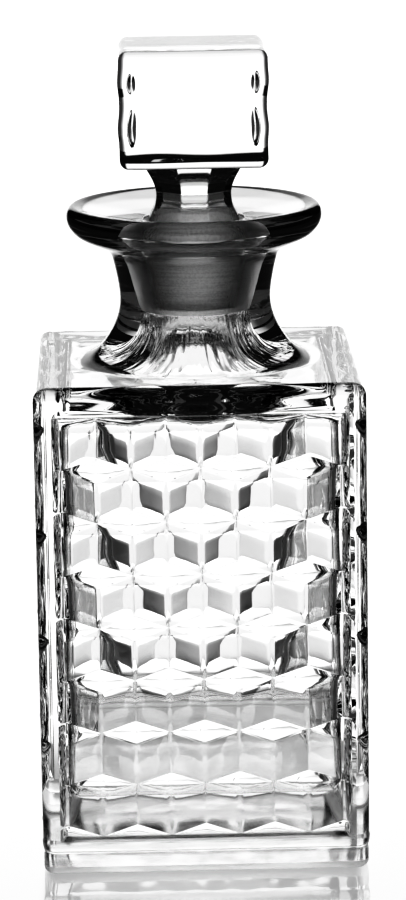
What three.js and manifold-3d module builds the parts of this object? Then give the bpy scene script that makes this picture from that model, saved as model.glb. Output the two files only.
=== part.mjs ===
// A square pressed-glass decanter with a block-headed ground stopper.
// Millimetres, +Z up. The origin is the middle of the underside, and the front looks along -Y.
// Two pieces of glass: the bottle, and the stopper that lifts straight out of its neck.

import * as THREE from "three";
import { mergeVertices } from "three/addons/utils/BufferGeometryUtils.js";
import Module from "manifold-3d";

const wasm = await Module();
wasm.setup();

// Body: half widths are across the flats.
const BODY_HALF = 47.3;
const BODY_CORNER = 4;
const SHOULDER_TOP = 143;
const SHOULDER_EDGE = 3.8;
const BODY_BOTTOM = 6.5;
const BODY_FOOT_EDGE = 0.9;

// Plinth under the body, with the fine groove that parts the two.
const PLINTH_HALF = 47.1;
const PLINTH_TOP = 6.2;
const PLINTH_EDGE = 1.9;
const PLINTH_TOP_EDGE = 0.7;
const GROOVE_HALF = 46.5;
const DISH_RADIUS = 36;
const DISH_DEPTH = 0.6;

// Tumbling-block relief on all four sides; the back is staggered the other way.
// A block is drawn as a hexagon: two side facets that lean back, and a rhombus under them.
const BLOCK_HALF_WIDTH = 9.9;
const BLOCK_SIDE = 11.4;
const BLOCK_RISE = 4.1;
const ROW_PITCH = BLOCK_SIDE + BLOCK_RISE;
const ROWS = 8;
const LOWEST_ROW = 18.6;
const RELIEF_STEP = 2.05;
const RELIEF_APEX = 0.3;
const BLOCK_OVERLAP = 0.06;
const PANEL_HALF = 41.5;
const PANEL_BOTTOM = 10.2;
const PANEL_TOP = 135.2;
const PANEL_CORNER = 2;
const POCKET_DEPTH = 4.6;
const BACK = 2;

// Space inside.
const CAVITY_HALF = 39.5;
const CAVITY_CORNER = 3.2;
const CAVITY_FLOOR = 21;
const CAVITY_TOP = 133.5;
const CAVITY_EDGE = 2.8;

// Neck, lip and bore, as radius and height.
const TURN_STEPS = 40;
const NECK_OUTSIDE = [
  [38, 141.5],
  [36.4, 142.9],
  [33.2, 143.4],
  [30.2, 144.8],
  [27.9, 146.9],
  [26, 149.3],
  [24.2, 152.2],
  [22.9, 155.2],
  [22.25, 158],
  [22.05, 161],
  [22.4, 164.6],
  [23.05, 168.3],
  [23.85, 171.8],
  [24.6, 174.3],
  [26.4, 176.2],
  [30.8, 177.8],
  [34.4, 179.6],
  [36.2, 181.6],
  [37.1, 183.6],
  [37.35, 185.3],
  [36.9, 187.1],
  [35.7, 188.3],
  [33.2, 187.8],
  [28, 186.3],
  [22, 185],
  [17.6, 184.3],
];
const NECK_INSIDE = [
  [28.6, 132.8],
  [23, 134.8],
  [18.6, 137],
  [15.1, 140.3],
  [12.8, 144],
  [11.3, 148.4],
  [10.6, 153],
];
const BORE_BOTTOM = 157;
const BORE_TOP = 184;

// Ground plug of the stopper, a plain taper with an even gap to the bore.
const PLUG_BOTTOM = 158.5;
const PLUG_TOP = 183.2;
const PLUG_BOTTOM_RADIUS = 10.3;
const PLUG_TAPER = 0.155;
const PLUG_GAP = 0.3;

// Waisted eight-sided shank: half width across the flats at each height.
const SHANK = [
  [11, 181.6],
  [12.6, 182.4],
  [13.1, 184],
  [12.3, 186.1],
  [11.3, 188.3],
  [10.9, 191],
  [11.1, 193.2],
  [12, 195.8],
  [13.6, 198.2],
  [14.6, 200.2],
  [14.8, 203],
];

// Block head.
const HEAD_HALF = 21.7;
const HEAD_BOTTOM = 201;
const HEAD_TOP = 235;
const HEAD_EDGE = 2.7;
const HEAD_CORNER = 3;

// Closed three.js geometry to a solid, and back.
function solid(geometry) {
  const bare = geometry.index ? geometry.toNonIndexed() : geometry.clone();
  bare.deleteAttribute("normal");
  bare.deleteAttribute("uv");
  const merged = mergeVertices(bare, 1e-4);
  return new wasm.Manifold(
    new wasm.Mesh({
      numProp: 3,
      vertProperties: new Float32Array(merged.attributes.position.array),
      triVerts: new Uint32Array(merged.index.array),
    })
  );
}

function geometryOf(manifold) {
  const mesh = manifold.getMesh();
  const geometry = new THREE.BufferGeometry();
  geometry.setAttribute("position", new THREE.BufferAttribute(mesh.vertProperties, 3));
  geometry.setIndex(new THREE.BufferAttribute(mesh.triVerts, 1));
  geometry.computeVertexNormals();
  return geometry;
}

// Rectangle with round corners, about the origin.
function roundedRectangle(halfX, halfY, corner) {
  const shape = new THREE.Shape();
  shape.moveTo(-halfX + corner, -halfY);
  shape.lineTo(halfX - corner, -halfY);
  shape.absarc(halfX - corner, -halfY + corner, corner, -Math.PI / 2, 0);
  shape.lineTo(halfX, halfY - corner);
  shape.absarc(halfX - corner, halfY - corner, corner, 0, Math.PI / 2);
  shape.lineTo(-halfX + corner, halfY);
  shape.absarc(-halfX + corner, halfY - corner, corner, Math.PI / 2, Math.PI);
  shape.lineTo(-halfX, -halfY + corner);
  shape.absarc(-halfX + corner, -halfY + corner, corner, Math.PI, Math.PI * 1.5);
  return shape;
}

// Upright block from bottom to top, its upright corners and its top and bottom edges rounded.
function roundedBlock(halfX, halfY, bottom, top, corner, edge, steps) {
  const shape = roundedRectangle(halfX - edge, halfY - edge, corner - edge);
  const geometry = new THREE.ExtrudeGeometry(shape, {
    depth: top - bottom - 2 * edge,
    curveSegments: steps,
    bevelEnabled: true,
    bevelThickness: edge,
    bevelSize: edge,
    bevelSegments: steps,
  });
  geometry.translate(0, 0, bottom + edge);
  return geometry;
}

// Solid of revolution about Z from a closed list of [radius, height].
function turned(points, steps = TURN_STEPS) {
  const profile = points.map(([radius, height]) => new THREE.Vector2(radius, height));
  const geometry = new THREE.LatheGeometry(profile, steps);
  geometry.rotateX(Math.PI / 2);
  return geometry;
}

// One block of the relief: a hexagonal prism whose outer end is cut to three facets
// that meet in a proud corner near its foot. Drawn in the panel plane, outward along -Y.
// The prisms overlap a little, and the facets of neighbours meet in a valley all the same.
function reliefBlock(centreX, rowHeight) {
  const up = rowHeight + BLOCK_SIDE / 2;
  const down = rowHeight - BLOCK_SIDE / 2;
  const lift = BLOCK_RISE / 2;
  const reach = BLOCK_HALF_WIDTH + BLOCK_OVERLAP;
  const outline = new THREE.Shape([
    new THREE.Vector2(centreX - reach, down - lift - BLOCK_OVERLAP),
    new THREE.Vector2(centreX, down - 3 * lift - BLOCK_OVERLAP),
    new THREE.Vector2(centreX + reach, down - lift - BLOCK_OVERLAP),
    new THREE.Vector2(centreX + reach, up - lift + BLOCK_OVERLAP),
    new THREE.Vector2(centreX, up + lift + BLOCK_OVERLAP),
    new THREE.Vector2(centreX - reach, up - lift + BLOCK_OVERLAP),
  ]);
  const prism = new THREE.ExtrudeGeometry(outline, { depth: 9, bevelEnabled: false });
  prism.rotateX(Math.PI / 2);
  prism.translate(0, -BODY_HALF + 6, 0);

  // The cutter is a box sheared so that its corner is the block's proud corner.
  const apex = new THREE.Vector3(centreX, -BODY_HALF - RELIEF_APEX, down + lift);
  const left = new THREE.Vector3(-BLOCK_HALF_WIDTH, RELIEF_STEP, -BLOCK_RISE);
  const right = new THREE.Vector3(BLOCK_HALF_WIDTH, RELIEF_STEP, -BLOCK_RISE);
  const above = new THREE.Vector3(0, RELIEF_STEP, BLOCK_SIDE);
  const cutter = new THREE.BoxGeometry(1, 1, 1);
  cutter.translate(0.5, 0.5, 0.5);
  cutter.scale(4, 4, 4);
  cutter.applyMatrix4(new THREE.Matrix4().makeBasis(right, left, above).setPosition(apex));
  return solid(prism).intersect(solid(cutter));
}

// The whole relief of one side, clipped a little outside the panel's outline.
// With a stagger of 1 each row lies half a block along from where it would be.
function reliefPanel(stagger) {
  let blocks = null;
  for (let row = -1; row <= ROWS; row += 1) {
    const offset = (row + stagger) % 2 === 0 ? 0 : BLOCK_HALF_WIDTH;
    for (let column = -3; column <= 2; column += 1) {
      const centreX = offset + column * 2 * BLOCK_HALF_WIDTH;
      const block = reliefBlock(centreX, LOWEST_ROW + row * ROW_PITCH);
      blocks = blocks === null ? block : blocks.add(block);
    }
  }
  const middle = (PANEL_TOP + PANEL_BOTTOM) / 2;
  const outline = roundedRectangle(
    PANEL_HALF + BLOCK_OVERLAP, (PANEL_TOP - PANEL_BOTTOM) / 2 + BLOCK_OVERLAP, PANEL_CORNER
  );
  const window = new THREE.ExtrudeGeometry(
    outline, { depth: 20, curveSegments: 3, bevelEnabled: false }
  );
  window.rotateX(Math.PI / 2);
  window.translate(0, -BODY_HALF + 6, middle);
  return blocks.intersect(solid(window));
}

// The opening that each panel leaves in the smooth wall.
function panelPocket() {
  const middle = (PANEL_TOP + PANEL_BOTTOM) / 2;
  const pocket = new THREE.ExtrudeGeometry(
    roundedRectangle(PANEL_HALF, (PANEL_TOP - PANEL_BOTTOM) / 2, PANEL_CORNER),
    { depth: 20, curveSegments: 3, bevelEnabled: false }
  );
  pocket.rotateX(Math.PI / 2);
  pocket.translate(0, -BODY_HALF + POCKET_DEPTH, middle);
  return solid(pocket);
}

function turnedSide(manifold, quarter) {
  return manifold.rotate([0, 0, 90 * quarter]);
}

function plugRadius(height) {
  return PLUG_BOTTOM_RADIUS + PLUG_TAPER * (height - PLUG_BOTTOM);
}

function bottle() {
  const upper = roundedBlock(
    BODY_HALF, BODY_HALF, 40, SHOULDER_TOP, BODY_CORNER, SHOULDER_EDGE, 4
  );
  const lower = roundedBlock(
    BODY_HALF, BODY_HALF, BODY_BOTTOM, 90, BODY_CORNER, BODY_FOOT_EDGE, 4
  );
  let body = solid(upper).add(solid(lower));

  const pocket = panelPocket();
  for (let quarter = 0; quarter < 4; quarter += 1) {
    const relief = reliefPanel(quarter === BACK ? 1 : 0);
    body = body.subtract(turnedSide(pocket, quarter)).add(turnedSide(relief, quarter));
  }

  const plinth = roundedBlock(
    PLINTH_HALF, PLINTH_HALF, 0, PLINTH_TOP, BODY_CORNER, PLINTH_EDGE, 4
  );
  const rim = roundedBlock(
    PLINTH_HALF, PLINTH_HALF, 2.2, PLINTH_TOP, BODY_CORNER, PLINTH_TOP_EDGE, 4
  );
  const groove = roundedBlock(GROOVE_HALF, GROOVE_HALF, 4, 9, BODY_CORNER, 0.3, 4);
  body = body.add(solid(groove)).add(solid(plinth)).add(solid(rim));

  const outside = turned([[0, 138], ...NECK_OUTSIDE, [0, 184.3]]);
  body = body.add(solid(outside));

  // Shallow dish under the base, a flat cone with an easy rim.
  const dish = turned([
    [0, -2],
    [DISH_RADIUS + 1, -2],
    [DISH_RADIUS, 0],
    [DISH_RADIUS * 0.72, DISH_DEPTH * 0.62],
    [DISH_RADIUS * 0.38, DISH_DEPTH * 0.92],
    [0, DISH_DEPTH],
  ]);

  const cavity = roundedBlock(
    CAVITY_HALF, CAVITY_HALF, CAVITY_FLOOR, CAVITY_TOP, CAVITY_CORNER, CAVITY_EDGE, 4
  );
  const bore = turned([
    [0, 100],
    [28.6, 100],
    ...NECK_INSIDE,
    [plugRadius(BORE_BOTTOM) + PLUG_GAP, BORE_BOTTOM],
    [plugRadius(BORE_TOP) + PLUG_GAP, BORE_TOP],
    [plugRadius(BORE_TOP) + PLUG_GAP + 1, BORE_TOP + 3],
    [0, BORE_TOP + 3],
  ]);
  return body.subtract(solid(dish)).subtract(solid(cavity)).subtract(solid(bore));
}

// Eight-sided waist: the same profile pushed through from four directions.
function shank() {
  const side = new THREE.Shape([
    ...SHANK.map(([half, height]) => new THREE.Vector2(half, height)),
    ...SHANK.map(([half, height]) => new THREE.Vector2(-half, height)).reverse(),
  ]);
  const front = new THREE.ExtrudeGeometry(side, { depth: 60, bevelEnabled: false });
  front.rotateX(Math.PI / 2);
  front.translate(0, 30, 0);
  let waist = solid(front);
  for (let eighth = 1; eighth < 4; eighth += 1) {
    waist = waist.intersect(solid(front).rotate([0, 0, 45 * eighth]));
  }
  return waist;
}

function stopper() {
  const plug = turned([
    [0, PLUG_BOTTOM],
    [plugRadius(PLUG_BOTTOM) - 1, PLUG_BOTTOM],
    [plugRadius(PLUG_BOTTOM + 1), PLUG_BOTTOM + 1],
    [plugRadius(PLUG_TOP), PLUG_TOP],
    [13.4, PLUG_TOP + 0.7],
    [0, PLUG_TOP + 0.7],
  ]);
  const head = roundedBlock(
    HEAD_HALF, HEAD_HALF, HEAD_BOTTOM, HEAD_TOP, HEAD_CORNER, HEAD_EDGE, 4
  );
  return solid(plug).add(shank()).add(solid(head));
}

// Clear colourless glass for both pieces.
function glass(name, geometry) {
  const material = new THREE.MeshStandardMaterial({
    color: 0xe9efee,
    roughness: 0.03,
    metalness: 0,
    transparent: true,
    opacity: 0.35,
  });
  const mesh = new THREE.Mesh(geometry, material);
  mesh.name = name;
  return mesh;
}

const decanter = new THREE.Group();
decanter.add(glass("bottle", geometryOf(bottle())));
decanter.add(glass("stopper", geometryOf(stopper())));

export default decanter;
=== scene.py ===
import math

import bpy
import numpy as np
from mathutils import Matrix, Vector


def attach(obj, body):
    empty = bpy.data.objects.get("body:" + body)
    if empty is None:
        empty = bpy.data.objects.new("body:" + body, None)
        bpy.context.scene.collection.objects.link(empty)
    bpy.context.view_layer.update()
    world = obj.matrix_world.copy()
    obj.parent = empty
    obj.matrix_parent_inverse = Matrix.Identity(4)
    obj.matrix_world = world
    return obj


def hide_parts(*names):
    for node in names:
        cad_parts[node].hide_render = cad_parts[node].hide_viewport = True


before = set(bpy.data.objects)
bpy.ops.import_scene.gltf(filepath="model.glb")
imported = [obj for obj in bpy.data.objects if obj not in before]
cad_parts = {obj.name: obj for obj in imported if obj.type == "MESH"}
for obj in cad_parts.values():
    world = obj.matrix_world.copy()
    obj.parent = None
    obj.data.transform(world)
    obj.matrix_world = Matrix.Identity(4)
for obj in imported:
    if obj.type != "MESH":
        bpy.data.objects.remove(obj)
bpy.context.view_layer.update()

# Camera
# A long lens a little over a metre away, looking down on the decanter. The picture is rolled
# slightly, and the decanter stands turned by a degree, as in the photograph of 406 x 900 pixels.
MM = 0.001
CAMERA_DISTANCE = 1188.6 * MM
CAMERA_PITCH = math.radians(12.34)
CAMERA_ROLL = math.radians(-0.89)
DECANTER_TURN = math.radians(1.12)
CAMERA_TARGET = Vector((1.6 * MM, 0, 114.7 * MM))
FOCAL_IN_PIXELS = 4031.8
FRAME_HEIGHT_IN_PIXELS = 900
SENSOR = 36.0
FARTHEST_SEEN = 50

camera_data = bpy.data.cameras.new("camera")
camera_data.sensor_width = SENSOR
camera_data.lens = FOCAL_IN_PIXELS * SENSOR / FRAME_HEIGHT_IN_PIXELS
camera_data.clip_end = FARTHEST_SEEN
camera = bpy.data.objects.new("camera", camera_data)
bpy.context.scene.collection.objects.link(camera)
back_off = Vector((0, -math.cos(CAMERA_PITCH), math.sin(CAMERA_PITCH))) * CAMERA_DISTANCE
camera.matrix_world = (
    Matrix.Rotation(-DECANTER_TURN, 4, "Z")
    @ Matrix.Translation(CAMERA_TARGET + back_off)
    @ Matrix.Rotation(math.pi / 2 - CAMERA_PITCH, 4, "X")
    @ Matrix.Rotation(CAMERA_ROLL, 4, "Z")
)
bpy.context.scene.camera = camera

# Light
# A white screen stands behind the decanter, in a dark room. It is dimmer near its top and its
# edges are soft. The camera sees plain white wherever it looks past the glass and the table.
WHITE = (1, 1, 1, 1)
SCREEN_HALF_ANGLE = math.radians(15)
SCREEN_SOFTNESS = math.radians(4)
SCREEN_TOP = math.radians(31)
SCREEN_BRIGHT_TO, SCREEN_DIM_FROM, SCREEN_DIMMED = math.radians(14), math.radians(21), 0.5
SCREEN_LIGHT = 1.2
ROOM_LIGHT = 0.015

world = bpy.data.worlds.new("studio")
bpy.context.scene.world = world
world.use_nodes = True
sky = world.node_tree
sky.nodes.clear()


def calc(tree, operation, *values):
    """A Math node in a node tree; each value is a number or the output of another node."""
    node = tree.nodes.new("ShaderNodeMath")
    node.operation = operation
    for socket, value in zip(node.inputs, values):
        if isinstance(value, (int, float)):
            socket.default_value = value
        else:
            tree.links.new(value, socket)
    return node.outputs[0]


def fade(tree, value, low, high, before=1.0, after=0.0):
    """One number below low and another above high, with a soft step between them."""
    node = tree.nodes.new("ShaderNodeMapRange")
    node.interpolation_type = "SMOOTHSTEP"
    for name, given in zip(("Value", "From Min", "From Max", "To Min", "To Max"),
                           (value, low, high, before, after)):
        if isinstance(given, (int, float)):
            node.inputs[name].default_value = given
        else:
            tree.links.new(given, node.inputs[name])
    return node.outputs["Result"]


direction = sky.nodes.new("ShaderNodeTexCoord").outputs["Generated"]
split = sky.nodes.new("ShaderNodeSeparateXYZ")
sky.links.new(direction, split.inputs[0])
east, north, up = split.outputs
aside = calc(sky, "ABSOLUTE", calc(sky, "ARCTAN2", east, north))
height = calc(sky, "ARCSINE", up)
screen = calc(
    sky, "MULTIPLY",
    fade(sky, aside, SCREEN_HALF_ANGLE - SCREEN_SOFTNESS, SCREEN_HALF_ANGLE + SCREEN_SOFTNESS),
    calc(sky, "MULTIPLY",
         fade(sky, height, SCREEN_TOP - SCREEN_SOFTNESS, SCREEN_TOP + SCREEN_SOFTNESS),
         fade(sky, height, SCREEN_BRIGHT_TO, SCREEN_DIM_FROM, 1.0, SCREEN_DIMMED)))
seen = sky.nodes.new("ShaderNodeLightPath").outputs["Is Camera Ray"]
glow = calc(
    sky, "MAXIMUM",
    calc(sky, "ADD", calc(sky, "MULTIPLY", screen, SCREEN_LIGHT), ROOM_LIGHT),
    calc(sky, "MULTIPLY", seen, SCREEN_LIGHT),
)
background = sky.nodes.new("ShaderNodeBackground")
background.inputs["Color"].default_value = WHITE
sky.links.new(glow, background.inputs["Strength"])
sky.links.new(background.outputs[0], sky.nodes.new("ShaderNodeOutputWorld").inputs["Surface"])

# Floor
# A plain pale table top with a soft shine, far larger than the view. It lies a hair below the
# plinth, so that the two never share a plane.
FLOOR_HALF = 6.0
FLOOR_LEVEL = -0.00005
TABLE_GREY, TABLE_ROUGHNESS, TABLE_METALLIC = 0.85, 0.06, 0.3

floor_mesh = bpy.data.meshes.new("floor")
floor_mesh.from_pydata(
    [(-FLOOR_HALF, -FLOOR_HALF, FLOOR_LEVEL), (FLOOR_HALF, -FLOOR_HALF, FLOOR_LEVEL),
     (FLOOR_HALF, FLOOR_HALF, FLOOR_LEVEL), (-FLOOR_HALF, FLOOR_HALF, FLOOR_LEVEL)],
    [], [(0, 1, 2, 3)],
)
floor = bpy.data.objects.new("floor", floor_mesh)
bpy.context.scene.collection.objects.link(floor)

# The table top glows where light reaches it: under the decanter and in a lane behind it, though
# less close behind it.
LANE_HALF_ANGLE = math.radians(19)
LANE_SOFTNESS = math.radians(8)
LANE_GLOW, ASIDE_GLOW, FOOT_GLOW = 0.75, 0.05, 0.62
LANE_DIM_TO, LANE_BRIGHT_FROM, LANE_DIMMED = 0.08, 0.11, 0.3
FOOT_RADIUS, FOOT_SOFTNESS = 0.07, 0.007
SEEN_GLOW = 0.62
floor_material = bpy.data.materials.new("pale_table")
floor_material.use_nodes = True
table = floor_material.node_tree
floor_shader = table.nodes["Principled BSDF"]
floor_shader.inputs["Base Color"].default_value = (TABLE_GREY, TABLE_GREY, TABLE_GREY, 1)
floor_shader.inputs["Roughness"].default_value = TABLE_ROUGHNESS
floor_shader.inputs["Metallic"].default_value = TABLE_METALLIC
split = table.nodes.new("ShaderNodeSeparateXYZ")
table.links.new(table.nodes.new("ShaderNodeTexCoord").outputs["Object"], split.inputs[0])
east, north = split.outputs[:2]
aside = calc(table, "ABSOLUTE", calc(table, "ARCTAN2", east, north))
away = calc(table, "SQRT", calc(
    table, "ADD", calc(table, "MULTIPLY", east, east), calc(table, "MULTIPLY", north, north)))
lane_glow = fade(table, north, LANE_DIM_TO, LANE_BRIGHT_FROM, LANE_GLOW * LANE_DIMMED, LANE_GLOW)
lane = fade(table, aside, LANE_HALF_ANGLE - LANE_SOFTNESS, LANE_HALF_ANGLE + LANE_SOFTNESS,
            lane_glow, ASIDE_GLOW)
foot = fade(table, away, FOOT_RADIUS, FOOT_RADIUS + FOOT_SOFTNESS, FOOT_GLOW, 0.0)
seen = table.nodes.new("ShaderNodeLightPath").outputs["Is Camera Ray"]
# A painted shadow, seen only by camera rays: the table's glow is painted grey, with crisp sides,
# in a band towards the camera, as if the glass cast it with its light from behind. The painted
# shadow starts under the plinth's front edge and fades out on the way.
SHADOW_HALF, SHADOW_EDGE, SHADOW_DEPTH = 0.0455, 0.002, 0.42
SHADOW_START, SHADOW_FULL_FROM, SHADOW_FULL_TO, SHADOW_END = 0.04, 0.045, 0.08, 0.16
off_line = calc(table, "ABSOLUTE", calc(
    table, "ADD", east, calc(table, "MULTIPLY", north, -math.tan(DECANTER_TURN))))
painted_shadow = calc(
    table, "MULTIPLY",
    fade(table, off_line, SHADOW_HALF - SHADOW_EDGE, SHADOW_HALF + SHADOW_EDGE,
         SHADOW_DEPTH, 0.0),
    calc(table, "MULTIPLY", fade(table, north, -SHADOW_END, -SHADOW_FULL_TO, 0.0, 1.0),
         fade(table, north, -SHADOW_FULL_FROM, -SHADOW_START, 1.0, 0.0)))
# The camera sees the table's even glow, darkened where the shadow is painted.
shown = calc(table, "MULTIPLY", calc(table, "SUBTRACT", 1.0, painted_shadow), SEEN_GLOW)
table.links.new(
    calc(table, "ADD",
         calc(table, "MULTIPLY", calc(table, "MAXIMUM", lane, foot),
              calc(table, "SUBTRACT", 1.0, seen)),
         calc(table, "MULTIPLY", seen, shown)),
    floor_shader.inputs["Emission Strength"])
floor_shader.inputs["Emission Color"].default_value = WHITE
floor_mesh.materials.append(floor_material)

# Print
# The photograph is printed hard: its whites run out and its darks close up. Each tone, from
# black at 0 to white at 1, is moved along one curve that all three colours share.
TONES = ((0.05, 0.012), (0.16, 0.1), (0.42, 0.4), (0.8, 0.9))
ALL_COLOURS = 3

view = bpy.context.scene.view_settings
view.view_transform = "Standard"
view.use_curve_mapping = True
tones = view.curve_mapping.curves[ALL_COLOURS]
for before, after in TONES:
    tones.points.new(before, after)
view.curve_mapping.update()

# Bottle
# One piece of pressed clear glass: a thick square body on a plinth, all four sides covered with
# tumbling blocks, a flat shoulder and a waisted round neck with a broad turned-out lip.
# The bore is ground to take the stopper.
BODY_HALF, BODY_CORNER, BODY_LEAST_CORNER = 47.3, 4.0, 0.4
SHOULDER_TOP, SHOULDER_EDGE, SHOULDER_EDGE_STEPS = 143.0, 4.0, 8
PLINTH_HALF, PLINTH_EDGE, PLINTH_EDGE_STEPS = 47.1, 1.9, 5
# The plinth's flat sole ends short of its rounded edge, whose arc starts at an angle, in degrees.
SOLE_INSET, PLINTH_ARC_START = 1.25, -50
DISH_RADIUS, DISH_DEPTH, DISH_STEPS, DISH_RIM = 36.0, 0.6, 8, 0.6
CAVITY_HALF, CAVITY_CORNER, CAVITY_LEAST_CORNER = 39.5, 3.2, 0.6
CAVITY_FLOOR, CAVITY_TOP, CAVITY_EDGE, CAVITY_EDGE_STEPS = 21.0, 133.5, 2.8, 10
CAVITY_WALL_RINGS, CAVITY_FLOOR_RING = 14, 20
# A ring of points this far inside each rounded edge keeps the flat beside it flat.
FLAT_START, CAVITY_FLAT_START = 0.4, 0.3
# Half width and height up the side of the plinth, over a shallow groove and out to the walls.
PLINTH_SIDE = [
    (47.1, 3.4), (47.1, 5.0), (47.08, 5.6), (47.0, 6.0), (46.92, 6.2), (46.9, 6.35),
    (46.95, 6.5), (47.05, 6.7), (47.2, 7.2), (47.35, 8.0), (47.45, 8.8), (47.5, 9.6),
]
# Radius and height from the neck's foot up its outside, over the lip and in to the bore.
SHOULDER_RING = 37.6
NECK_STEP = 0.75
NECK_OUTSIDE = [
    (37.0, 143.0), (34.6, 143.2), (31.9, 144.0), (29.5, 145.4), (27.6, 147.2), (25.9, 149.5),
    (24.2, 152.4), (22.95, 155.4), (22.25, 158.2), (22.05, 161.0), (22.35, 164.6),
    (23.0, 168.3), (23.75, 171.6), (24.7, 174.2), (26.9, 176.3), (30.8, 177.9),
    (34.3, 179.7), (36.2, 181.7), (37.1, 183.6), (37.3, 185.4), (36.85, 187.1),
    (35.6, 188.2), (34.2, 188.0), (31.5, 187.2), (28.0, 186.2), (22.0, 185.0), (18.6, 184.45),
]
# The mouth of the bore is eased: how much wider than the bore each ring is, and how far above.
BORE_TOP, BORE_BOTTOM, BORE_RINGS = 184.0, 157.0, 12
BORE_MOUTH = ((0.55, 0.25), (0.15, 0.0))
GRINDING_TOP = BORE_TOP - 0.4
PLUG_BOTTOM, PLUG_BOTTOM_RADIUS, PLUG_TAPER, PLUG_GAP = 158.5, 10.3, 0.155, 0.3
# Radius and height from the bore's foot down the flare to the roof of the space inside.
FLARE_STEP = 1.0
NECK_INSIDE = [
    (10.3, 156.4), (10.6, 153.0), (11.3, 148.4), (12.8, 144.0), (15.1, 140.3),
    (18.6, 137.0), (23.0, 134.8), (28.0, 133.7),
]
# The blocks: half their width, the height of a side facet, the rise of its slanting edge, and
# how far each step sinks into the wall. Their upright edges stand at whole half widths.
HALF_WIDTH, SIDE, RISE, SINK = 9.9, 11.4, 4.1, 2.05
FIRST_APEX = 14.95
ROW_PITCH = SIDE + RISE
ROWS = range(-1, 9)
PANEL_HALF, PANEL_BOTTOM, PANEL_TOP = 41.5, 10.2, 135.2
BEVEL, BEVEL_STEPS = 1.05, 3
# The sides are counted anticlockwise from above, and the front is 0. The back's rows are
# staggered against the front's.
BACK = 2
# Columns of points crowd at the upright edges, and rows follow the slanting ones.
FACET_COLUMNS = (0.0, 0.3, 0.75, 1.4, 4.95, 8.5, 9.15, 9.6)
MARGIN_COLUMNS = (29.7, 30.0, 30.45, 31.1, 34.65, 38.2, 38.85, 39.3, 39.6, 39.9, 40.5, 40.85,
                  41.2, 41.5, 42.3)
HALF_COLUMNS = [HALF_WIDTH * k + c for k in range(3) for c in FACET_COLUMNS]
HALF_COLUMNS += MARGIN_COLUMNS
WALL_COLUMNS = [-c for c in reversed(HALF_COLUMNS[1:])] + HALF_COLUMNS
CORNER_STEPS = 8
# Each row of points is a share of the way up an under face, or beyond it up the side facets,
# and a small step off that line, which is shortened where the under face narrows to its ends.
ROW_PLACES = ((0, -0.5), (0, -0.2), (0, 0), (0, 0.2), (0, 0.5), (0.5, 0), (1, -0.5), (1, -0.2),
              (1, 0), (1, 0.2), (1, 0.5), (1.3, 0), (1.7, 0))
LEAST_SPAN, MOST_STEP = 0.1, 0.42
# Rows of points that lie outside the panel are left out, and the others stay in order.
LEVEL_MARGIN, LEVEL_STEP = 0.1, 0.01
# The round neck and the cavity have half as many points round as the walls.
ROUND_POINTS = 2 * (len(WALL_COLUMNS) + 1 + CORNER_STEPS)
CAVITY_CORNER_STEPS = 13
CAVITY_COLUMNS = ROUND_POINTS // 4 - CAVITY_CORNER_STEPS - 1


def smooth_line(points, step):
    """Points about a step apart on the Catmull-Rom curve through the given [radius, height]."""
    places = [Vector(p) for p in points]
    places = [2 * places[0] - places[1], *places, 2 * places[-1] - places[-2]]
    line = []
    for a, b, c, d in zip(places, places[1:], places[2:], places[3:]):
        parts = max(1, round((c - b).length / step))
        for k in range(parts):
            t = k / parts
            line.append(tuple(
                0.5 * (2 * b[i] + (c[i] - a[i]) * t
                       + (2 * a[i] - 5 * b[i] + 4 * c[i] - d[i]) * t * t
                       + (3 * b[i] - a[i] - 3 * c[i] + d[i]) * t ** 3)
                for i in range(2)))
    line.append(tuple(places[-2]))
    return line


def square_ring(half, corner, height, columns, full, corner_steps):
    """A level ring round a square with round corners, from the left end of the front side."""
    ring = []
    flat = half - corner
    for quarter in range(4):
        turn = quarter * math.pi / 2
        for c in [-full, *columns]:
            x = c * flat / full
            ring.append((x * math.cos(turn) + half * math.sin(turn),
                         x * math.sin(turn) - half * math.cos(turn), height))
        for k in range(corner_steps):
            angle = turn - math.pi / 2 + math.pi / 2 * k / corner_steps
            x, y = corner * math.cos(angle), corner * math.sin(angle)
            ring.append((x + flat * (math.cos(turn) + math.sin(turn)),
                         y + flat * (math.sin(turn) - math.cos(turn)), height))
    return ring


def round_ring(radius, height):
    """A level ring round the axis, which starts in line with the square rings."""
    first = math.atan2(-BODY_HALF, -(BODY_HALF - BODY_CORNER))
    angles = [first + 2 * math.pi * k / ROUND_POINTS for k in range(ROUND_POINTS)]
    return [(radius * math.cos(a), radius * math.sin(a), height) for a in angles]


def edge_arc(half, height, edge, start, stop, steps):
    """Half width and height along a rounded edge whose arc turns from start to stop, in degrees."""
    arc = []
    for k in range(steps + 1):
        a = math.radians(start + (stop - start) * k / steps)
        arc.append((half - edge + edge * math.cos(a), height + edge * math.sin(a)))
    return arc


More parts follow.
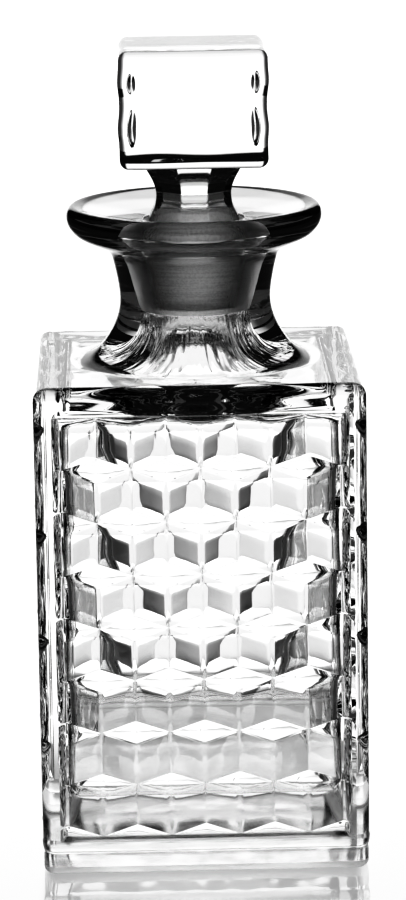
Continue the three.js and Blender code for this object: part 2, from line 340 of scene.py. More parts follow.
class Shell:
    """Rings of points joined in order to one closed skin, each band clear or ground."""

    def __init__(self):
        self.points, self.faces, self.ground, self.last = [], [], [], None

    def face(self, corners, ground):
        self.faces.append(corners)
        self.ground.append(ground)

    def add(self, ring, ground=False):
        first = len(self.points)
        self.points.extend(ring)
        now = list(range(first, first + len(ring)))
        if self.last is not None:
            self.band(self.last, now, ground)
        self.last = now

    def band(self, low, high, ground):
        if len(low) == len(high):
            for i in range(len(low)):
                j = (i + 1) % len(low)
                self.face((low[i], low[j], high[j], high[i]), ground)
            return
        dense, coarse = (low, high) if len(low) > len(high) else (high, low)
        for i in range(len(coarse)):
            j = (i + 1) % len(coarse)
            a, b, c = dense[2 * i], dense[2 * i + 1], dense[(2 * i + 2) % len(dense)]
            for face in ((a, b, coarse[i]), (b, c, coarse[j]), (b, coarse[j], coarse[i])):
                self.face(face if dense is low else face[::-1], ground)

    def start(self, centre, ring, ground=False):
        self.points.append(centre)
        self.add(ring)
        for i in range(len(self.last)):
            self.face((0, self.last[(i + 1) % len(self.last)], self.last[i]), ground)

    def close(self, centre):
        self.points.append(centre)
        tip = len(self.points) - 1
        for i in range(len(self.last)):
            self.face((self.last[i], self.last[(i + 1) % len(self.last)], tip), False)

    def mesh(self, name):
        mesh = bpy.data.meshes.new(name)
        mesh.from_pydata([(x * MM, y * MM, z * MM) for x, y, z in self.points], [], self.faces)
        mesh.polygons.foreach_set("use_smooth", [True] * len(mesh.polygons))
        mesh.attributes.new("ground", "BOOLEAN", "FACE").data.foreach_set("value", self.ground)
        return mesh


def plug_radius(height):
    """Radius of the stopper's tapering plug, which the bore follows with an even gap."""
    return PLUG_BOTTOM_RADIUS + PLUG_TAPER * (height - PLUG_BOTTOM)


def bore_radius(height):
    return plug_radius(height) + PLUG_GAP


skin = Shell()


def body_rings(arc, full):
    """Square rings along an arc, the corner easing with the edge as a rolled edge does."""
    for half, height in arc:
        corner = max(BODY_CORNER - (full - half), BODY_LEAST_CORNER)
        skin.add(square_ring(
            half, corner, height, WALL_COLUMNS, BODY_HALF - BODY_CORNER, CORNER_STEPS))


dish = [(DISH_RADIUS * k / DISH_STEPS, DISH_DEPTH * (1 - (k / DISH_STEPS) ** 2))
        for k in range(1, DISH_STEPS + 1)]
skin.start((0, 0, DISH_DEPTH), round_ring(*dish[0]))
for radius, height in dish[1:]:
    skin.add(round_ring(radius, height))
skin.add(round_ring(DISH_RADIUS + DISH_RIM, 0))
body_rings(
    [(PLINTH_HALF - PLINTH_EDGE - FLAT_START, 0), (PLINTH_HALF - SOLE_INSET, 0)], PLINTH_HALF)
body_rings(
    edge_arc(PLINTH_HALF, PLINTH_EDGE, PLINTH_EDGE, PLINTH_ARC_START, 0, PLINTH_EDGE_STEPS),
    PLINTH_HALF)
body_rings(PLINTH_SIDE, BODY_HALF)
first_wall_point = len(skin.points)


def wall_height(row, share, step, along):
    """Height of a row of points at a place along the wall, following the slanting edges."""
    shift = HALF_WIDTH * (row % 2)
    off_edge = abs((along - shift + HALF_WIDTH) % (2 * HALF_WIDTH) - HALF_WIDTH) / HALF_WIDTH
    span = max(2 * RISE * (1 - off_edge), LEAST_SPAN)
    low = FIRST_APEX + row * ROW_PITCH - RISE - span / 2
    if share > 1:
        return low + span + (share - 1) * SIDE
    return low + share * span + math.copysign(min(abs(step), MOST_STEP * span), step)


def wall_ring(low_limit, high_limit, row, share, step):
    """A ring round the walls whose heights follow the blocks of each side."""
    ring = square_ring(BODY_HALF, BODY_CORNER, 0, WALL_COLUMNS, BODY_HALF - BODY_CORNER,
                       CORNER_STEPS)
    heights = []
    for quarter in range(4):
        for c in [-(BODY_HALF - BODY_CORNER), *WALL_COLUMNS]:
            staggered = c + (HALF_WIDTH if quarter == BACK else 0)
            height = wall_height(row, share, step, staggered)
            heights.append(min(max(height, low_limit), high_limit))
        heights += [None] * CORNER_STEPS
    for quarter in range(4):
        first = (quarter + 1) * len(heights) // 4 - CORNER_STEPS
        before, after = heights[first - 1], heights[(first + CORNER_STEPS) % len(heights)]
        for k in range(CORNER_STEPS):
            heights[first + k] = before + (after - before) * k / CORNER_STEPS
    return [(x, y, z) for (x, y, _), z in zip(ring, heights)]


low, high = PANEL_BOTTOM + BEVEL, PANEL_TOP - BEVEL
bevel_rises = [BEVEL * k / BEVEL_STEPS for k in range(BEVEL_STEPS + 1)]
body_rings([(BODY_HALF, PANEL_BOTTOM + rise) for rise in bevel_rises], BODY_HALF)
levels = []
for level in [(row, *place) for row in ROWS for place in ROW_PLACES]:
    ends = wall_height(*level, 0), wall_height(*level, HALF_WIDTH)
    if max(ends) > low + LEVEL_MARGIN and min(ends) < high - LEVEL_MARGIN:
        levels.append(level)
for k, level in enumerate(levels):
    left = len(levels) - k
    skin.add(wall_ring(low + LEVEL_STEP * (k + 1), high - LEVEL_STEP * left, *level))
body_rings([(BODY_HALF, high + rise) for rise in bevel_rises], BODY_HALF)
body_rings([(BODY_HALF, (PANEL_TOP + SHOULDER_TOP - SHOULDER_EDGE) / 2)], BODY_HALF)
after_wall_point = len(skin.points)
body_rings(
    edge_arc(BODY_HALF, SHOULDER_TOP - SHOULDER_EDGE, SHOULDER_EDGE, 0, 90, SHOULDER_EDGE_STEPS)
    + [(BODY_HALF - SHOULDER_EDGE - FLAT_START, SHOULDER_TOP)], BODY_HALF)
skin.add(round_ring(SHOULDER_RING, SHOULDER_TOP))
for radius, height in smooth_line(NECK_OUTSIDE, NECK_STEP):
    skin.add(round_ring(radius, height))
for wider, above in BORE_MOUTH:
    skin.add(round_ring(bore_radius(BORE_TOP) + wider, BORE_TOP + above))
skin.add(round_ring(bore_radius(GRINDING_TOP), GRINDING_TOP))
for k in range(1, BORE_RINGS + 1):
    height = GRINDING_TOP + (BORE_BOTTOM - GRINDING_TOP) * k / BORE_RINGS
    skin.add(round_ring(bore_radius(height), height), ground=True)
for radius, height in smooth_line(NECK_INSIDE, FLARE_STEP):
    skin.add(round_ring(radius, height))


def cavity_rings(arc):
    """Square rings along an arc of the space inside, the corner easing with the edge."""
    flat = CAVITY_HALF - CAVITY_CORNER
    steps = CAVITY_COLUMNS + 1
    columns = [-flat + 2 * flat * k / steps for k in range(1, steps)]
    for half, height in arc:
        corner = max(CAVITY_CORNER - (CAVITY_HALF - half), CAVITY_LEAST_CORNER)
        skin.add(square_ring(half, corner, height, columns, flat, CAVITY_CORNER_STEPS))


cavity_flat_half = CAVITY_HALF - CAVITY_EDGE - CAVITY_FLAT_START
wall_top, wall_bottom = CAVITY_TOP - CAVITY_EDGE, CAVITY_FLOOR + CAVITY_EDGE
cavity_rings([(cavity_flat_half, CAVITY_TOP)])
cavity_rings(edge_arc(CAVITY_HALF, wall_top, CAVITY_EDGE, 90, 0, CAVITY_EDGE_STEPS))
cavity_rings([(CAVITY_HALF, wall_top - (wall_top - wall_bottom) * k / CAVITY_WALL_RINGS)
              for k in range(1, CAVITY_WALL_RINGS)])
cavity_rings(edge_arc(CAVITY_HALF, wall_bottom, CAVITY_EDGE, 0, -90, CAVITY_EDGE_STEPS))
cavity_rings([(cavity_flat_half, CAVITY_FLOOR), (CAVITY_FLOOR_RING, CAVITY_FLOOR)])
skin.close((0, 0, CAVITY_FLOOR))
bottle_mesh = skin.mesh("bottle_blank")

# Each point of the walls knows how far along its side it lies, how the blocks there are
# staggered, and which way that side faces. Every other point lies far off the panels.
OFF_THE_PANELS = 999.0
across = np.full(len(skin.points), OFF_THE_PANELS)
stagger = np.zeros(len(skin.points))
outward = np.zeros((len(skin.points), 3))
ring_across, ring_stagger, ring_outward = [], [], []
for quarter in range(4):
    turn = quarter * math.pi / 2
    columns = [-(BODY_HALF - BODY_CORNER), *WALL_COLUMNS]
    ring_across += columns + [OFF_THE_PANELS] * CORNER_STEPS
    ring_stagger += [HALF_WIDTH if quarter == BACK else 0.0] * (len(columns) + CORNER_STEPS)
    ring_outward += [(math.sin(turn), -math.cos(turn), 0)] * len(columns)
    ring_outward += [(0, 0, 0)] * CORNER_STEPS
rings = (after_wall_point - first_wall_point) // len(ring_across)
across[first_wall_point:after_wall_point] = ring_across * rings
stagger[first_wall_point:after_wall_point] = ring_stagger * rings
outward[first_wall_point:after_wall_point] = ring_outward * rings
bottle_mesh.attributes.new("across", "FLOAT", "POINT").data.foreach_set("value", across)
bottle_mesh.attributes.new("stagger", "FLOAT", "POINT").data.foreach_set("value", stagger)
bottle_mesh.attributes.new("outward", "FLOAT_VECTOR", "POINT").data.foreach_set(
    "vector", outward.ravel())

# Glass: the clear body, faintly streaked as pressed glass is and rubbed by handling, and the
# ground bore and plug, matt from the grinding with fine rings round them.
GLASS_IOR = 1.51
SMEAR_SCALE, SMEAR_FROM, SMEAR_TO = 60, 0.04, 0.2
STREAK_SCALE, STREAK_SQUASH = 90, (1, 1, 0.35)
FINE_STREAK_SCALE, FINE_STREAK_SQUASH, FINE_STREAK_SHARE = 330, (1, 1, 0.5), 0.12

handling = bpy.data.node_groups.new("handling", "ShaderNodeTree")
for name, way in (("Haze", "INPUT"), ("Streak Depth", "INPUT"),
                  ("Roughness", "OUTPUT"), ("Height", "OUTPUT")):
    handling.interface.new_socket(name, in_out=way, socket_type="NodeSocketFloat")
given = handling.nodes.new("NodeGroupInput")
result = handling.nodes.new("NodeGroupOutput")
place = handling.nodes.new("ShaderNodeTexCoord").outputs["Object"]


def noise(tree, place, scale, detail, squash=(1, 1, 1)):
    """Soft noise around zero at a scale per metre, on a place that may be squashed first."""
    squashed = tree.nodes.new("ShaderNodeVectorMath")
    squashed.operation = "MULTIPLY"
    squashed.inputs[1].default_value = squash
    tree.links.new(place, squashed.inputs[0])
    node = tree.nodes.new("ShaderNodeTexNoise")
    node.inputs["Scale"].default_value = scale
    node.inputs["Detail"].default_value = detail
    tree.links.new(squashed.outputs[0], node.inputs["Vector"])
    return calc(tree, "SUBTRACT", node.outputs[0], 0.5)


smear = fade(handling, noise(handling, place, SMEAR_SCALE, 3), SMEAR_FROM, SMEAR_TO, 0.0, 1.0)
handling.links.new(
    calc(handling, "MULTIPLY", smear, given.outputs["Haze"]), result.inputs["Roughness"])
streaks = calc(
    handling, "ADD",
    noise(handling, place, STREAK_SCALE, 1, STREAK_SQUASH),
    calc(handling, "MULTIPLY",
         noise(handling, place, FINE_STREAK_SCALE, 1, FINE_STREAK_SQUASH), FINE_STREAK_SHARE))
handling.links.new(
    calc(handling, "MULTIPLY", streaks, given.outputs["Streak Depth"]), result.inputs["Height"])


def glass(name, haze, streak_depth):
    """A glass whose roughness and fine unevenness come from the handling group."""
    material = bpy.data.materials.new(name)
    material.use_nodes = True
    tree = material.node_tree
    shader = tree.nodes["Principled BSDF"]
    shader.inputs["IOR"].default_value = GLASS_IOR
    shader.inputs["Transmission Weight"].default_value = 1.0
    group = tree.nodes.new("ShaderNodeGroup")
    group.node_tree = handling
    group.inputs["Haze"].default_value = haze
    group.inputs["Streak Depth"].default_value = streak_depth
    return material, tree, shader, group


# The clear glass is rubbed matt underneath, most at its rim, and is wavy round the plinth.
CLEAR_COLOUR = (0.985, 0.985, 0.985, 1)
CLEAR_HAZE, CLEAR_STREAK_DEPTH = 0.012, 0.00006
FOOT_WEAR, FOOT_WEAR_LEAST, FOOT_TOP, FOOT_FADE = 0.22, 0.13, 0.0021, 0.00042
WEAR_SCALE, WEAR_SPREAD = 75, 0.12
RIM_FROM, RIM_TO, RIM_WEAR = 0.0435, 0.0455, 0.5
PLINTH_WAVES, PLINTH_WAVES_FROM, PLINTH_WAVES_TO = 0.0009, 0.0015, 0.0066
PLINTH_WAVES_SCALE, PLINTH_WAVES_SQUASH, PLINTH_WAVES_FADE = 130, (1, 1, 0.7), 0.001

clear_glass, tree, shader, group = glass("clear_glass", CLEAR_HAZE, CLEAR_STREAK_DEPTH)
shader.inputs["Base Color"].default_value = CLEAR_COLOUR
place = tree.nodes.new("ShaderNodeTexCoord").outputs["Object"]
split = tree.nodes.new("ShaderNodeSeparateXYZ")
tree.links.new(place, split.inputs[0])
out = calc(tree, "SQRT", calc(
    tree, "ADD", calc(tree, "MULTIPLY", split.outputs["X"], split.outputs["X"]),
    calc(tree, "MULTIPLY", split.outputs["Y"], split.outputs["Y"])))
off_middle = calc(tree, "MAXIMUM", calc(tree, "ABSOLUTE", split.outputs["X"]),
                  calc(tree, "ABSOLUTE", split.outputs["Y"]))
worn = calc(
    tree, "MULTIPLY", fade(tree, split.outputs["Z"], FOOT_TOP, FOOT_TOP + FOOT_FADE, 1.0, 0.0),
    calc(tree, "ADD",
         fade(tree, noise(tree, place, WEAR_SCALE, 3), -WEAR_SPREAD, WEAR_SPREAD,
              FOOT_WEAR_LEAST, FOOT_WEAR),
         fade(tree, off_middle, RIM_FROM, RIM_TO, 0.0, RIM_WEAR)))
tree.links.new(
    calc(tree, "ADD", group.outputs["Roughness"], worn), shader.inputs["Roughness"])

# The flare inside the neck was worked hot, which left streaks that run down and outwards. They
# lie inside a cone, and change slowly with height.
FLARE_LOW, FLARE_HIGH, FLARE_SHALLOW, FLARE_STEEP = 0.1335, 0.1575, 0.0136, 0.64
FLARE_LOW_FADE, FLARE_HIGH_FADE = 0.004, 0.002
FLARE_STREAKS, FLARE_STREAKS_SCALE, FLARE_STREAKS_DRIFT = 0.0005, 7, 12.0

heading = tree.nodes.new("ShaderNodeCombineXYZ")
for name in ("X", "Y"):
    tree.links.new(calc(tree, "DIVIDE", split.outputs[name], out), heading.inputs[name])
tree.links.new(
    calc(tree, "MULTIPLY", split.outputs["Z"], FLARE_STREAKS_DRIFT), heading.inputs["Z"])
flare_edge = calc(
    tree, "ADD", FLARE_SHALLOW,
    calc(tree, "MULTIPLY", calc(tree, "SUBTRACT", FLARE_HIGH, split.outputs["Z"]), FLARE_STEEP))
inside_flare = calc(
    tree, "MULTIPLY", calc(tree, "LESS_THAN", out, flare_edge),
    calc(tree, "MULTIPLY",
         fade(tree, split.outputs["Z"], FLARE_LOW, FLARE_LOW + FLARE_LOW_FADE, 0.0, 1.0),
         fade(tree, split.outputs["Z"], FLARE_HIGH - FLARE_HIGH_FADE, FLARE_HIGH, 1.0, 0.0)))
flare_streaks = calc(
    tree, "MULTIPLY", noise(tree, heading.outputs[0], FLARE_STREAKS_SCALE, 1),
    calc(tree, "MULTIPLY", inside_flare, FLARE_STREAKS))
plinth_waves = calc(
    tree, "MULTIPLY", noise(tree, place, PLINTH_WAVES_SCALE, 1, PLINTH_WAVES_SQUASH), calc(
        tree, "MULTIPLY",
        fade(tree, split.outputs["Z"],
             PLINTH_WAVES_FROM, PLINTH_WAVES_FROM + PLINTH_WAVES_FADE, 0.0, 1.0),
        fade(tree, split.outputs["Z"],
             PLINTH_WAVES_TO - PLINTH_WAVES_FADE, PLINTH_WAVES_TO, PLINTH_WAVES, 0.0)))
bump = tree.nodes.new("ShaderNodeBump")
bump.inputs["Distance"].default_value = 1.0
tree.links.new(
    calc(tree, "ADD", group.outputs["Height"], calc(tree, "ADD", flare_streaks, plinth_waves)),
    bump.inputs["Height"])
tree.links.new(bump.outputs[0], shader.inputs["Normal"])

# The ground glass is grey and matt, shaded by fine rings and specks, with a grain and scratches
# that run round it.
GROUND_LIGHT, GROUND_DARK = (0.92, 0.92, 0.92, 1), (0.62, 0.62, 0.62, 1)
GROUND_ROUGHNESS, GROUND_HAZE, GROUND_STREAK_DEPTH = 0.62, 0.12, 0.00002
RING_SCALE, RING_SQUASH, SPECK_SCALE, SHADE_SPREAD = 1500, (0.04, 0.04, 1), 1700, 0.22
GRAIN_SCALE, GRAIN_DEPTH = 2600, 0.00006
SCRATCH_SCALE, SCRATCH_SQUASH, SCRATCH_DEPTH = 900, (0.05, 0.05, 1), 0.00008

ground_glass, tree, shader, group = glass("ground_glass", GROUND_HAZE, GROUND_STREAK_DEPTH)
tree.links.new(
    calc(tree, "ADD", group.outputs["Roughness"], GROUND_ROUGHNESS), shader.inputs["Roughness"])
place = tree.nodes.new("ShaderNodeTexCoord").outputs["Object"]
shading = calc(
    tree, "ADD",
    noise(tree, place, RING_SCALE, 2, RING_SQUASH), noise(tree, place, SPECK_SCALE, 3))
shade = tree.nodes.new("ShaderNodeMix")
shade.data_type = "RGBA"
tree.links.new(
    fade(tree, shading, -SHADE_SPREAD, SHADE_SPREAD, 0.0, 1.0), shade.inputs["Factor"])
shade.inputs[6].default_value = GROUND_LIGHT
shade.inputs[7].default_value = GROUND_DARK
tree.links.new(shade.outputs[2], shader.inputs["Base Color"])
grain = calc(
    tree, "ADD",
    calc(tree, "MULTIPLY", noise(tree, place, GRAIN_SCALE, 2), GRAIN_DEPTH),
    calc(tree, "MULTIPLY",
         noise(tree, place, SCRATCH_SCALE, 2, SCRATCH_SQUASH), SCRATCH_DEPTH))
bump = tree.nodes.new("ShaderNodeBump")
bump.inputs["Distance"].default_value = 1.0
tree.links.new(calc(tree, "ADD", grain, group.outputs["Height"]), bump.inputs["Height"])
tree.links.new(bump.outputs[0], shader.inputs["Normal"])

# Tumbling blocks: a block's upright edge stands proud, its two side facets fall away from that
# edge and lean back, and its under face cuts in below. Rows are staggered by half a block.
EDGE_EASING = 0.99
OUT_OF_REACH = 10.0
WAVINESS_SCALE = 130

blocks = bpy.data.node_groups.new("tumbling_blocks", "GeometryNodeTree")
blocks.is_modifier = True
blocks.interface.new_socket("Blank", in_out="INPUT", socket_type="NodeSocketGeometry")
BLOCK_SIZES = {
    "Half Width": HALF_WIDTH, "Side": SIDE, "Rise": RISE, "Sink": SINK, "Apex": 0.25,
    "First Apex": FIRST_APEX, "Rounding": 0.35, "Panel Half": PANEL_HALF,
    "Panel Bottom": PANEL_BOTTOM, "Panel Top": PANEL_TOP, "Panel Bevel": BEVEL, "Waviness": 0.06,
    "Line Height": 0.11, "Line Half Width": 0.46,
}
for name, value in BLOCK_SIZES.items():
    socket = blocks.interface.new_socket(name, in_out="INPUT", socket_type="NodeSocketFloat")
    socket.default_value = value
blocks.interface.new_socket("Glass", in_out="OUTPUT", socket_type="NodeSocketGeometry")
given = blocks.nodes.new("NodeGroupInput").outputs


def carried(name, kind):
    """What the blank's points or faces carry under a name."""
    node = blocks.nodes.new("GeometryNodeInputNamedAttribute")
    node.data_type = kind
    node.inputs["Name"].default_value = name
    return node.outputs["Attribute"]


def do(operation, *values):
    """One step of arithmetic in the tree of the blocks."""
    return calc(blocks, operation, *values)


place = blocks.nodes.new("GeometryNodeInputPosition").outputs[0]
split = blocks.nodes.new("ShaderNodeSeparateXYZ")
blocks.links.new(place, split.inputs[0])
height = do("MULTIPLY", split.outputs["Z"], 1 / MM)
along = carried("across", "FLOAT")
width, side, rise, sink = (given[n] for n in ("Half Width", "Side", "Rise", "Sink"))
pitch = do("ADD", side, rise)
fall_aside = do("DIVIDE", do("MULTIPLY", sink, do("ADD", do("DIVIDE", rise, side), 1.0)), width)
staggered = do("ADD", along, carried("stagger", "FLOAT"))
swing = do("COSINE", do("MULTIPLY", do("DIVIDE", staggered, width), math.pi))
eased = do("ARCCOSINE", do("MULTIPLY", swing, EDGE_EASING))
from_even = do("MULTIPLY", do("DIVIDE", eased, math.pi), width)
from_odd = do("SUBTRACT", width, from_even)
to_upright = do("MULTIPLY", do("DIVIDE", do("ARCCOSINE", swing), math.pi), width)
to_upright = do("MINIMUM", to_upright, do("SUBTRACT", width, to_upright))
fold = do("ADD", do("DIVIDE", sink, side), do("DIVIDE", sink, rise))


def block_surface(off_edge, apex):
    """Depth below the proud apex for one set of blocks, and how far off its nearest edge is."""
    middle = do("MULTIPLY", do("SUBTRACT", side, do("MULTIPLY", rise, 2.0)), 0.5)
    rise_here = do("SUBTRACT", do("SUBTRACT", height, apex), middle)
    over = do("ADD", do("WRAP", rise_here, pitch, do("MULTIPLY", pitch, -1.0)), middle)
    facet = do("SUBTRACT", do("MULTIPLY", do("DIVIDE", sink, side), do("MULTIPLY", over, -1.0)),
               do("MULTIPLY", fall_aside, off_edge))
    under = do("MULTIPLY", do("DIVIDE", sink, rise), over)
    to_slanting = do("DIVIDE", do("ABSOLUTE", do("SUBTRACT", facet, under)), fold)
    no_upright = do("MULTIPLY", do("GREATER_THAN", facet, under), OUT_OF_REACH)
    off_line = do("MINIMUM", to_slanting, do("ADD", to_upright, no_upright))
    return do("SMOOTH_MIN", facet, under, given["Rounding"]), off_line


even, off_even_line = block_surface(from_even, given["First Apex"])
odd, off_odd_line = block_surface(from_odd, do("ADD", given["First Apex"], pitch))
surface = do("ADD", do("SMOOTH_MAX", even, odd, given["Rounding"]), given["Apex"])
odd_shows = do("GREATER_THAN", odd, even)
off_line = do("ADD", do("MULTIPLY", off_odd_line, odd_shows),
              do("MULTIPLY", off_even_line, do("SUBTRACT", 1.0, odd_shows)))
off_line = do("MINIMUM", off_line, do("DIVIDE", do("ABSOLUTE", do("SUBTRACT", even, odd)), fold))
surface = do("ADD", surface, fade(
    blocks, off_line, 0.0, given["Line Half Width"], given["Line Height"], 0.0))
inset = do("MINIMUM", do("SUBTRACT", given["Panel Half"], do("ABSOLUTE", along)),
           do("MINIMUM", do("SUBTRACT", height, given["Panel Bottom"]),
              do("SUBTRACT", given["Panel Top"], height)))
surface = do("MULTIPLY", surface, fade(blocks, inset, 0.0, given["Panel Bevel"], 0.0, 1.0))
wave = do("MULTIPLY", noise(blocks, place, WAVINESS_SCALE, 1), given["Waviness"])
move = blocks.nodes.new("ShaderNodeVectorMath")
move.operation = "SCALE"
blocks.links.new(carried("outward", "FLOAT_VECTOR"), move.inputs[0])
blocks.links.new(do("MULTIPLY", do("ADD", surface, wave), MM), move.inputs["Scale"])
shape = blocks.nodes.new("GeometryNodeSetPosition")
blocks.links.new(given["Blank"], shape.inputs["Geometry"])
blocks.links.new(move.outputs[0], shape.inputs["Offset"])
real = blocks.nodes.new("GeometryNodeRealizeInstances")
blocks.links.new(shape.outputs[0], real.inputs[0])
all_clear = blocks.nodes.new("GeometryNodeSetMaterial")
all_clear.inputs["Material"].default_value = clear_glass
blocks.links.new(real.outputs[0], all_clear.inputs["Geometry"])
matt = blocks.nodes.new("GeometryNodeSetMaterial")
matt.inputs["Material"].default_value = ground_glass
blocks.links.new(all_clear.outputs[0], matt.inputs["Geometry"])
blocks.links.new(carried("ground", "BOOLEAN"), matt.inputs["Selection"])
blocks.links.new(matt.outputs[0], blocks.nodes.new("NodeGroupOutput").inputs[0])

blank = bpy.data.objects.new("bottle_blank", bottle_mesh)
bpy.context.scene.collection.objects.link(blank)
press = blank.modifiers.new("press", "NODES")
press.node_group = blocks
for socket in blocks.interface.items_tree:
    if socket.item_type == "SOCKET" and socket.name in BLOCK_SIZES:
        press[socket.identifier] = BLOCK_SIZES[socket.name]
pressed = bpy.data.meshes.new_from_object(
    blank.evaluated_get(bpy.context.evaluated_depsgraph_get()))
pressed.name = "bottle_glass"
bpy.data.objects.remove(blank)
bpy.data.meshes.remove(bottle_mesh)
bottle = bpy.data.objects.new("bottle_glass", pressed)
bpy.context.scene.collection.objects.link(bottle)
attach(bottle, "bottle_body")
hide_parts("bottle")

# Stopper
# One piece of clear glass: a ground tapering plug that fits the bore, a waisted shank with eight
# sides, and a solid square block as the head, pressed a little unevenly.
PLUG_TOP, PLUG_EDGE, PLUG_EDGE_STEPS, PLUG_RINGS = 182.6, 1.0, 5, 16
# The plug's underside is slightly hollow: radius, and height above its foot.
PLUG_HOLLOW = 0.25
PLUG_UNDERSIDE = ((4, 0.2), (8, 0.1), (9, 0.0))
# Above the grinding the plug turns into the shank: the share of the plug left, how much narrower
# that is, and the height.
PLUG_SHOULDER = ((0.8, 0.0, 182.85), (0.4, 0.3, 183.15))
# Half the width across the shank's flats, and height.
SHANK = [(13.3, 183.6), (13.1, 184.3), (12.3, 186.1), (11.3, 188.3), (10.9, 191.0),
         (11.1, 193.2), (12.0, 195.8), (13.3, 198.2), (14.2, 199.8), (15.0, 200.8)]
SHANK_STEP, SHANK_SIDES, SHANK_SHARPNESS, SHANK_DIAGONAL = 0.55, 8, 70, 0.944
HEAD_HALF, HEAD_CORNER, HEAD_LEAST_CORNER = 21.7, 3.0, 0.5
HEAD_EDGE, HEAD_EDGE_STEPS, HEAD_RINGS = 2.7, 8, 44
HEAD_BOTTOM, HEAD_TOP, HEAD_UNDERSIDE_STEPS = 201.0, 235.0, 5
HEAD_TOP_SHARES = (0.85, 0.65, 0.45, 0.25)
# The head's skin: how strong its waves are, and their lengths and shifts. Its upright edges
# stand in a little, except where they swell.
HEAD_DIMPLE, WAVE_MIDDLE = 0.5, 0.55
SIDE_WAVE, SIDE_LENGTHS, SIDE_SHIFTS = 0.25, (5.1, 6.3), (0.7, 0.4)
FACE_WAVE, FACE_LENGTHS, FACE_SHIFT = 0.2, (4.7, 5.2), 1.1
HEAD_SWELLS, SWELL_REACH, SWELL_OUT, EDGE_IN = (226.0, 213.0), 3.6, 1.1, 0.5
EDGE_FROM, EDGE_SPAN = 12, 8
# Dents in the front of the head, beside its upright edges: height and half height.
DENTS = ((226.0, 2.9), (213.3, 5.6))
DENT_ASIDE, DENT_HALF_WIDTH, DENT_DEPTH, DENT_FACE = 17.7, 1.2, 2.1, 18.5
# Columns of points, in degrees off the middle of a face, crowd at the dents.
COARSE_ANGLE, FINE_ANGLE, FINE_FROM, FINE_COLUMNS = 1.5, 0.4, 36, 16
EIGHTH = [COARSE_ANGLE * k for k in range(round(FINE_FROM / COARSE_ANGLE))]
EIGHTH += [FINE_FROM + FINE_ANGLE * k for k in range(FINE_COLUMNS)] + [42.8, 43.8]
QUARTER = [-45.0] + [-a for a in reversed(EIGHTH[1:])] + EIGHTH
STOPPER_ANGLES = [math.radians(90 * k + a) for k in range(4) for a in QUARTER]


def block_reach(angle, half, corner):
    """Distance from the middle to the edge of a square with round corners, at an angle."""
    c, s = abs(math.cos(angle)), abs(math.sin(angle))
    flat = half - corner
    if c * flat >= s * half:
        return half / c
    if s * flat >= c * half:
        return half / s
    middle = (c + s) * flat
    return middle + math.sqrt(max(middle ** 2 - 2 * flat * flat + corner ** 2, 0))


def shank_reach(angle, half):
    """Distance from the middle to the eight-sided shank, whose upright edges are eased."""
    total = 0.0
    for side in range(SHANK_SIDES):
        facing = math.cos(angle - 2 * math.pi * side / SHANK_SIDES)
        reach = SHANK_DIAGONAL if side % 2 else 1.0
        total += (max(facing, 0) / reach) ** SHANK_SHARPNESS
    return half / total ** (1 / SHANK_SHARPNESS)


def head_wave(x, y, z):
    """How far the head's skin stands in from its full size, least at the swells of its edges."""
    wave = (SIDE_WAVE * math.sin(x / SIDE_LENGTHS[0] + SIDE_SHIFTS[0])
            * math.cos(z / SIDE_LENGTHS[1] + SIDE_SHIFTS[1]))
    wave += FACE_WAVE * math.sin(y / FACE_LENGTHS[0] + z / FACE_LENGTHS[1] + FACE_SHIFT)
    swell = sum(math.exp(-((z - level) / SWELL_REACH) ** 2) for level in HEAD_SWELLS)
    near_edge = min(max((min(abs(x), abs(y)) - EDGE_FROM) / EDGE_SPAN, 0), 1)
    return HEAD_DIMPLE * max(WAVE_MIDDLE + wave + near_edge * (EDGE_IN - SWELL_OUT * swell), 0)


def dent(x, y, z):
    """How deep a point of the head's front lies in one of its pointed dents."""
    deep = 0.0
    for level, half_height in DENTS:
        off = math.hypot((abs(x) - DENT_ASIDE) / DENT_HALF_WIDTH, (z - level) / half_height)
        if y < -DENT_FACE:
            deep += DENT_DEPTH * max(1 - off, 0)
    return deep


def stopper_ring(height, *parts):
    """A level ring whose reach is the weighted mean of circles, shank sections or squares."""
    ring = []
    for angle in STOPPER_ANGLES:
        r = 0.0
        for share, shape, *sizes in parts:
            if shape == "round":
                r += share * sizes[0]
            elif shape == "shank":
                r += share * shank_reach(angle, *sizes)
            else:
                r += share * block_reach(angle, *sizes)
        ring.append((r * math.cos(angle), r * math.sin(angle), height))
    return ring


stopper_skin = Shell()


def plug_ring(radius, height):
    stopper_skin.add(stopper_ring(height, (1, "round", radius)), ground=True)


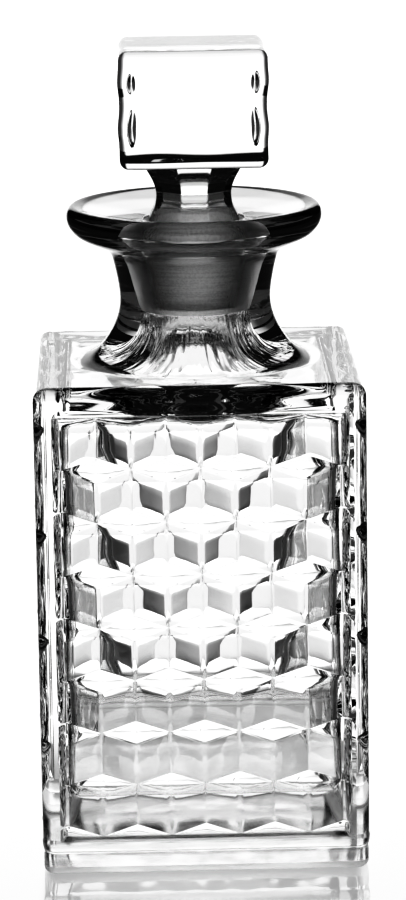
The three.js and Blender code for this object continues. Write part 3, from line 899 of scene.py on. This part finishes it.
(first_radius, first_rise), *underside = PLUG_UNDERSIDE
stopper_skin.start(
    (0, 0, PLUG_BOTTOM + PLUG_HOLLOW),
    stopper_ring(PLUG_BOTTOM + first_rise, (1, "round", first_radius)), ground=True)
for radius, above in underside:
    plug_ring(radius, PLUG_BOTTOM + above)
taper_start = PLUG_BOTTOM + PLUG_EDGE
for half, height in edge_arc(
        PLUG_BOTTOM_RADIUS, taper_start, PLUG_EDGE, -90, 0, PLUG_EDGE_STEPS):
    plug_ring(half, height)
for k in range(1, PLUG_RINGS + 1):
    height = taper_start + (PLUG_TOP - taper_start) * k / PLUG_RINGS
    plug_ring(plug_radius(height), height)
for share, narrower, height in PLUG_SHOULDER:
    stopper_skin.add(stopper_ring(
        height, (share, "round", plug_radius(PLUG_TOP) - narrower),
        (1 - share, "shank", SHANK[0][0])))
for half, height in smooth_line(SHANK, SHANK_STEP):
    stopper_skin.add(stopper_ring(height, (1, "shank", half)))
head_flat = (HEAD_HALF - HEAD_EDGE, HEAD_CORNER - HEAD_EDGE)
for k in range(1, HEAD_UNDERSIDE_STEPS):
    share = k / HEAD_UNDERSIDE_STEPS
    stopper_skin.add(stopper_ring(
        HEAD_BOTTOM, (1 - share, "shank", SHANK[-1][0]), (share, "block", *head_flat)))
first_head_point = len(stopper_skin.points)


def head_ring(inset, height):
    corner = max(HEAD_CORNER - inset, HEAD_LEAST_CORNER)
    stopper_skin.add(stopper_ring(height, (1, "block", HEAD_HALF - inset, corner)))


side_bottom, side_top = HEAD_BOTTOM + HEAD_EDGE, HEAD_TOP - HEAD_EDGE
for half, height in edge_arc(HEAD_EDGE, side_bottom, HEAD_EDGE, -90, 0, HEAD_EDGE_STEPS):
    head_ring(HEAD_EDGE - half, height)
for k in range(1, HEAD_RINGS):
    head_ring(0, side_bottom + (side_top - side_bottom) * k / HEAD_RINGS)
for half, height in edge_arc(HEAD_EDGE, side_top, HEAD_EDGE, 0, 90, HEAD_EDGE_STEPS):
    head_ring(HEAD_EDGE - half, height)
after_head_point = len(stopper_skin.points)
for share in HEAD_TOP_SHARES:
    stopper_skin.add(stopper_ring(HEAD_TOP, (share, "block", *head_flat)))
stopper_skin.close((0, 0, HEAD_TOP))
for k in range(first_head_point, after_head_point):
    x, y, z = stopper_skin.points[k]
    keep = 1 - head_wave(x, y, z) / HEAD_HALF
    y += dent(x, y, z)
    stopper_skin.points[k] = (x * keep, y * keep, z)
stopper_mesh = stopper_skin.mesh("stopper_glass")
stopper_mesh.materials.append(clear_glass)
stopper_mesh.materials.append(ground_glass)
stopper_mesh.polygons.foreach_set("material_index", [int(g) for g in stopper_skin.ground])
stopper = bpy.data.objects.new("stopper_glass", stopper_mesh)
bpy.context.scene.collection.objects.link(stopper)
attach(stopper, "stopper_body")
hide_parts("stopper")
